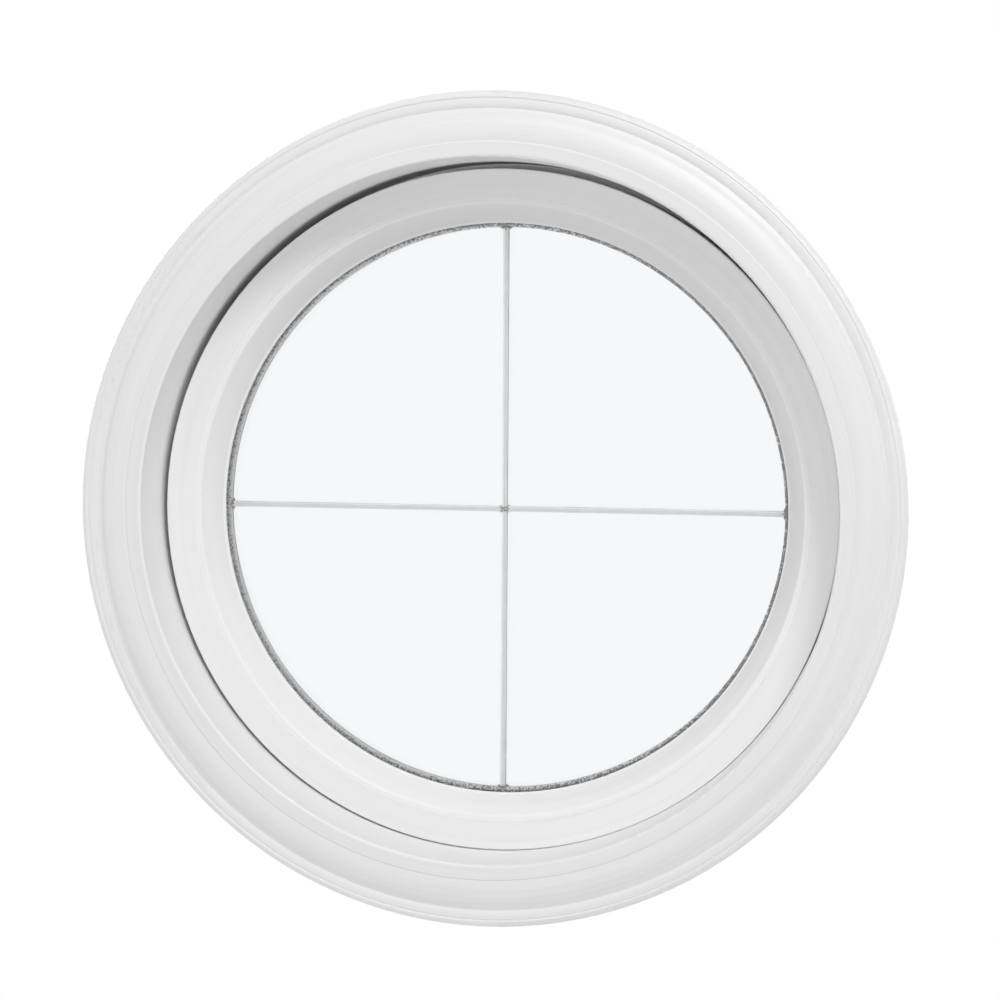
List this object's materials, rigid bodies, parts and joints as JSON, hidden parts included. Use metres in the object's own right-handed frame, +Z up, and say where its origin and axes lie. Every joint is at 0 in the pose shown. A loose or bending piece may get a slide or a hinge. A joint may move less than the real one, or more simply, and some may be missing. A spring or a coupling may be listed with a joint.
{
  "type": "round window",
  "caption": "Round fixed window with a moulded casing ring, deep sleeve, hollow plastic frame, nailing fin and a sealed glass unit with a leaded cross.",
  "frame": {"origin": "centre of the nailing fin's hole circle, on the fin's face that lies against the outside of the wall", "axes": "+Y out of the house along the window's axis, +Z up, +X to the right as seen from the room"},
  "size_m": [0.6564, 0.167, 0.6564],
  "materials": {
    "trim": "satin white moulded plastic",
    "frame": "satin white extruded plastic",
    "fin": "plain white flexible plastic",
    "cover": "plain white plastic",
    "bead": "satin white extruded plastic",
    "gasket": "grey soft strip",
    "tape": "white foam tape",
    "block": "firm black rubber",
    "glass": "clear float glass",
    "panel_glass": "clear thin glass",
    "spacer": "grey foam spacer",
    "sealant": "black sealant",
    "came": "satin silver-grey came",
    "solder": "dull solder"
  },
  "bodies": {
    "root": {"trim_ring": "trim", "main_frame": "frame", "nailing_fin": "fin", "weep_covers": "cover", "glazing_bead": "bead", "bead_gasket": "gasket", "glazing_tape": "tape", "setting_blocks": "block", "side_blocks": "block", "front_pane": "glass", "rear_pane": "glass", "front_spacer": "spacer", "rear_spacer": "spacer", "edge_seal": "sealant", "came_border": "came", "came_upright": "came", "came_left": "came", "came_right": "came", "solder_joints": "solder", "pane_upper_right": "panel_glass", "pane_lower_right": "panel_glass", "pane_lower_left": "panel_glass", "pane_upper_left": "panel_glass"}
  },
  "joints": []
}
